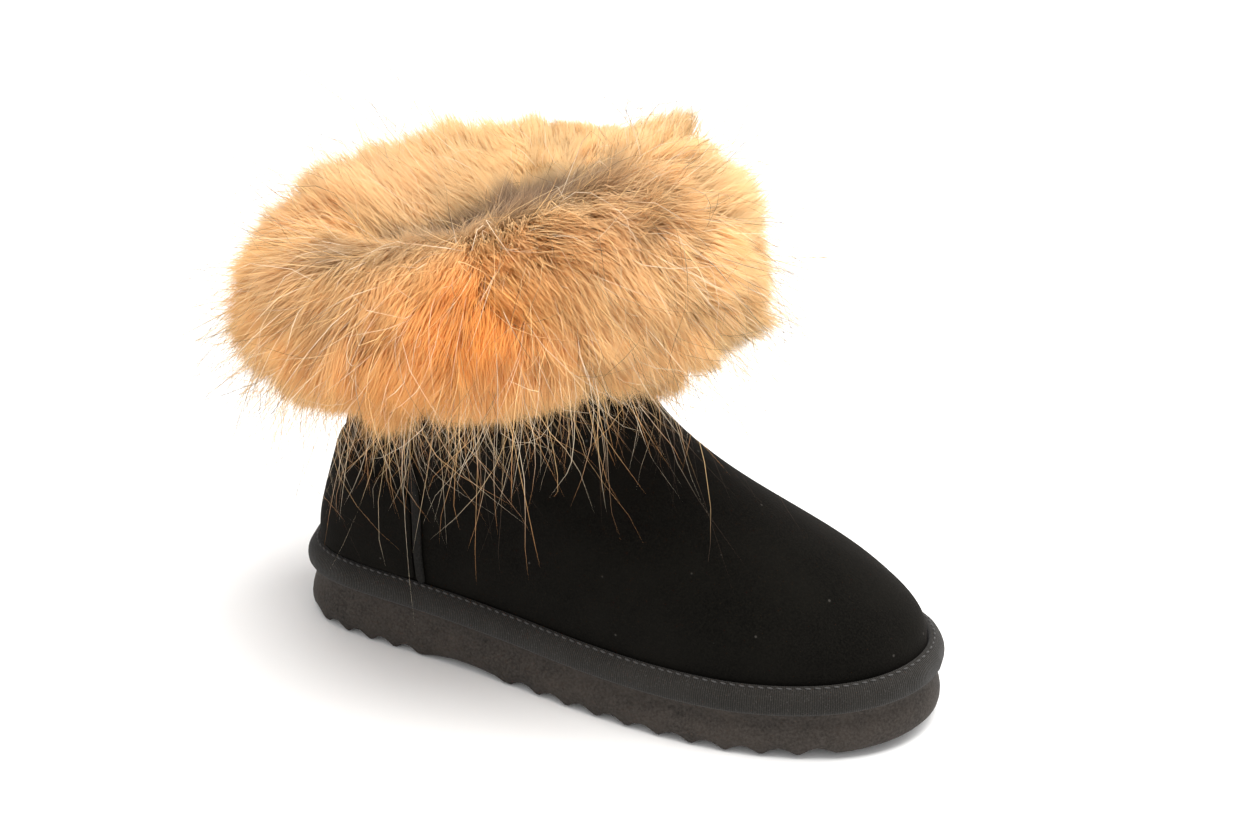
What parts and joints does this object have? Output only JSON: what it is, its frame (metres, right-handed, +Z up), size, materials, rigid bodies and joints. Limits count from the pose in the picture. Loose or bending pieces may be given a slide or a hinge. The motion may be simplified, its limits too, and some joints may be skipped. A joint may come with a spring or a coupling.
{
  "type": "sheepskin boot",
  "caption": "Low pull-on ankle boot in dark suede for the right foot, with a deep fur cuff round the collar, a bound rand and a thick flat foam sole with a notched tread.",
  "frame": {"origin": "on the floor under the middle of the heel seat", "axes": "+X along the foot towards the toe, +Y towards the inner (big toe) side, +Z up"},
  "size_m": [0.3106, 0.1889, 0.2201],
  "materials": {
    "black_suede": "matt suede",
    "seam_suede": "matt suede",
    "rand_cloth": "ribbed binding",
    "sole_foam": "matt foam",
    "fleece": "short fleece",
    "fur": "long fur"
  },
  "bodies": {
    "root": {"upper": "black_suede", "heel_counter": "black_suede", "side_seam_outer": "seam_suede", "side_seam_inner": "seam_suede", "rand": "rand_cloth", "outsole": "sole_foam", "insole": "fleece", "fur_cuff": "fur"}
  },
  "joints": []
}
